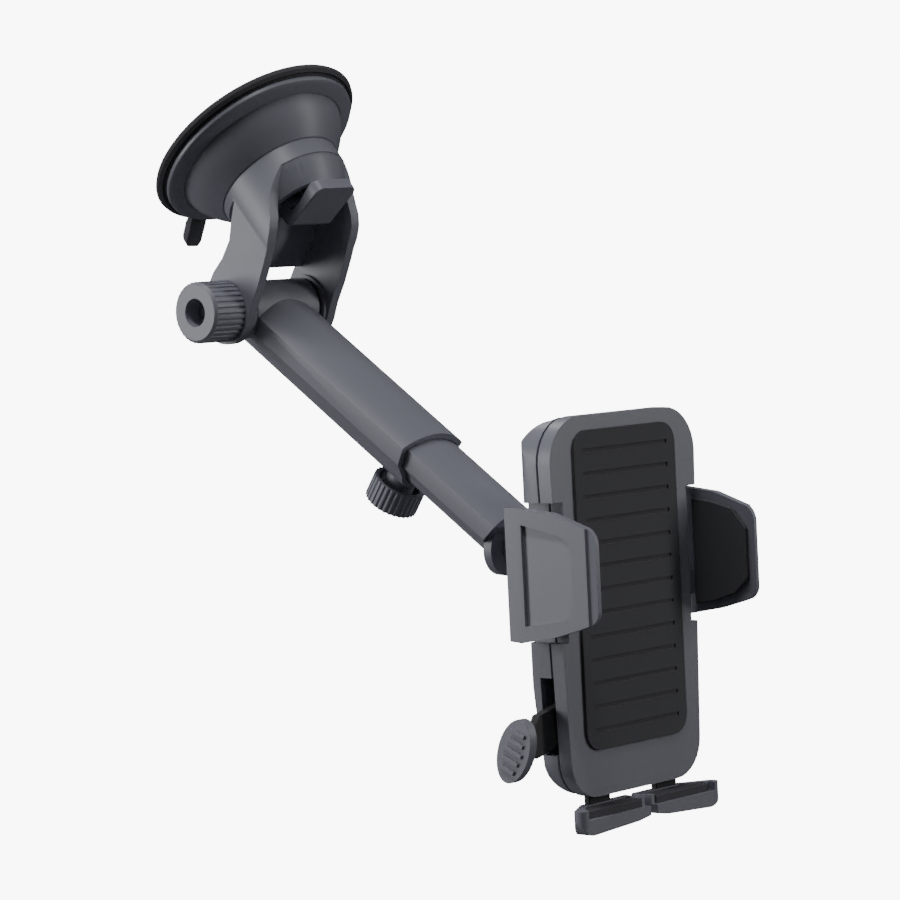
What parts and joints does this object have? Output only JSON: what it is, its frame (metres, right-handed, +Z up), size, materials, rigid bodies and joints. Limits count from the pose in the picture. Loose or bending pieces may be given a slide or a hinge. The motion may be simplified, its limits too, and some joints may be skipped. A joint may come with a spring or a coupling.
{
  "type": "car phone mount",
  "caption": "Windscreen phone mount: suction base with a locking lever, forked neck, telescopic arm, ball joint and a spring-jaw cradle with a foot.",
  "frame": {"origin": "centre of the suction pad's flat face", "axes": "+X across the mount, which is its symmetry direction; +Z up; the pad faces up and towards +Y at 43 degrees to the vertical, and the cradle is at -Y"},
  "size_m": [0.0873, 0.2102, 0.2292],
  "materials": {
    "shell plastic": "satin",
    "black plastic": "matte",
    "rubber": "matte",
    "steel": "brushed",
    "brass": "satin"
  },
  "bodies": {
    "base": {"suction_pad": "rubber", "cup_housing": "shell plastic", "yoke": "shell plastic", "neck_screws": "steel", "stud_spring": "steel", "pivot_nut": "steel"},
    "stud": {"pull_stud": "steel", "lever_pin": "steel"},
    "lever": {"lock_lever": "shell plastic"},
    "pivot_screw": {"pivot_knob": "shell plastic", "pivot_bolt": "steel"},
    "arm": {"outer_tube": "shell plastic", "friction_discs": "black plastic", "screw_insert": "brass", "lock_shoe": "black plastic"},
    "lock": {"lock_knob": "shell plastic", "lock_screw": "steel"},
    "extension": {"inner_tube": "shell plastic", "arm_end_cap": "shell plastic", "ball_stud": "shell plastic"},
    "liner_a": {"liner_inner": "black plastic"},
    "liner_b": {"liner_outer": "black plastic"},
    "cradle": {"back_shell": "shell plastic", "front_cover": "shell plastic", "front_pad": "rubber", "cradle_screws": "steel", "pinion_axle": "steel", "release_pin": "steel", "release_spring": "steel", "jaw_springs": "steel"},
    "nut": {"ring_nut": "shell plastic"},
    "jaw_l": {"left_jaw": "shell plastic", "left_jaw_pad": "rubber"},
    "jaw_r": {"right_jaw": "shell plastic", "right_jaw_pad": "rubber"},
    "gear": {"pinion": "black plastic"},
    "release": {"release_lever": "black plastic"},
    "foot": {"foot_slider": "black plastic", "left_foot": "shell plastic", "right_foot": "shell plastic", "foot_pads": "rubber"}
  },
  "joints": [
    {"name": "stud_slide", "type": "slide", "parent": "base", "child": "stud", "axis": [0, 0.682, 0.7314], "range_m": [0, 0.0023], "deforming": ["stud_spring"]},
    {"name": "lock_lever_swing", "type": "hinge", "parent": "stud", "child": "lever", "pos_m": [0, -0.01991, -0.02136], "axis": [1, 0, 0], "range_deg": [0, 80]},
    {"name": "pivot_knob_turn", "type": "hinge", "parent": "base", "child": "pivot_screw", "pos_m": [0, -0.00698, -0.05543], "axis": [-1, 0, 0], "continuous": true},
    {"name": "arm_tilt", "type": "hinge", "parent": "base", "child": "arm", "pos_m": [0, -0.00698, -0.05543], "axis": [1, 0, 0], "range_deg": [-40, 90]},
    {"name": "lock_knob_turn", "type": "hinge", "parent": "arm", "child": "lock", "pos_m": [0, -0.06354, -0.11275], "axis": [0, -0.515, 0.8572], "continuous": true},
    {"name": "arm_extend", "type": "slide", "parent": "arm", "child": "extension", "axis": [0, -0.8572, -0.515], "range_m": [-0.033, 0.014]},
    {"name": "ball_pitch", "type": "hinge", "parent": "extension", "child": "liner_a", "pos_m": [0, -0.12915, -0.12621], "axis": [1, 0, 0], "range_deg": [-15, 15]},
    {"name": "ball_swivel", "type": "hinge", "parent": "liner_a", "child": "liner_b", "pos_m": [0, -0.12915, -0.12621], "axis": [0, 0.0671, 0.9977], "range_deg": [-15, 15]},
    {"name": "ball_roll", "type": "hinge", "parent": "liner_b", "child": "cradle", "pos_m": [0, -0.12915, -0.12621], "axis": [0, -0.9977, 0.0671], "continuous": true},
    {"name": "ring_nut_turn", "type": "hinge", "parent": "cradle", "child": "nut", "pos_m": [0, -0.12915, -0.12621], "axis": [0, -0.9977, 0.0671], "continuous": true},
    {"name": "jaw_left_slide", "type": "slide", "parent": "cradle", "child": "jaw_l", "axis": [-1, 0, 0], "range_m": [-0.005, 0.009], "deforming": ["jaw_springs"]},
    {"name": "jaw_right_slide", "type": "slide", "parent": "cradle", "child": "jaw_r", "axis": [1, 0, 0], "range_m": [-0.005, 0.009]},
    {"name": "pinion_turn", "type": "hinge", "parent": "cradle", "child": "gear", "pos_m": [0, -0.15344, -0.12678], "axis": [0, -0.9977, 0.0671], "range_deg": [-42, 75]},
    {"name": "release_press", "type": "hinge", "parent": "cradle", "child": "release", "pos_m": [-0.008, -0.15549, -0.15721], "axis": [0, 0.9977, -0.0671], "range_deg": [0, 12], "stiffness_Nm_per_rad": 0.15, "deforming": ["release_spring"]},
    {"name": "foot_slide", "type": "slide", "parent": "cradle", "child": "foot", "axis": [0, -0.0671, -0.9977], "range_m": [-0.002, 0.015]}
  ],
  "couplings": [
    {"joint": "lock_lever_swing", "follows": "stud_slide", "rad_per_m": 607.07},
    {"joint": "jaw_right_slide", "follows": "jaw_left_slide", "ratio": 1},
    {"joint": "pinion_turn", "follows": "jaw_left_slide", "rad_per_m": 142.86}
  ]
}
